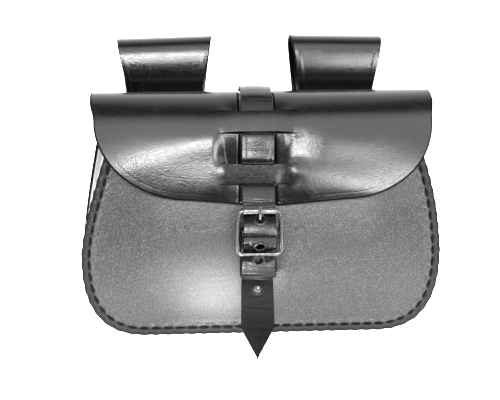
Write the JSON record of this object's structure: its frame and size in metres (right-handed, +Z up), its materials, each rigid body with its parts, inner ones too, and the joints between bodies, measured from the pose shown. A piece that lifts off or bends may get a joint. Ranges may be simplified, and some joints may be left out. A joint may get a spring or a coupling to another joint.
{
  "type": "leather belt bag",
  "caption": "Hollow leather belt bag with a bulged front panel, a flap that rolls over from the back, a buckled strap woven through slits in the flap, and belt loops behind.",
  "frame": {"origin": "middle of the flat base, on the surface that the bag stands on", "axes": "+Z up, the front with strap and buckle faces -Y, the belt loops are at +Y, +X is the right side seen from the front"},
  "size_m": [0.231, 0.1276, 0.1862],
  "materials": {
    "smooth_leather": "smooth black vegetable-tanned leather with a waxed, half-gloss surface",
    "grained_leather": "black leather with a fine pebbled grain and a satin surface",
    "nickel": "nickel-plated steel, slightly dulled"
  },
  "bodies": {
    "root": {"gusset": "smooth_leather", "front_panel": "grained_leather", "back_flap": "smooth_leather", "belt_loop_left": "smooth_leather", "belt_loop_right": "smooth_leather", "strap": "smooth_leather", "buckle_tab": "smooth_leather", "buckle_frame": "nickel", "buckle_roller": "nickel", "buckle_tongue": "nickel", "eyelet_1": "nickel", "eyelet_2": "nickel", "eyelet_3": "nickel", "eyelet_4": "nickel"}
  },
  "joints": []
}
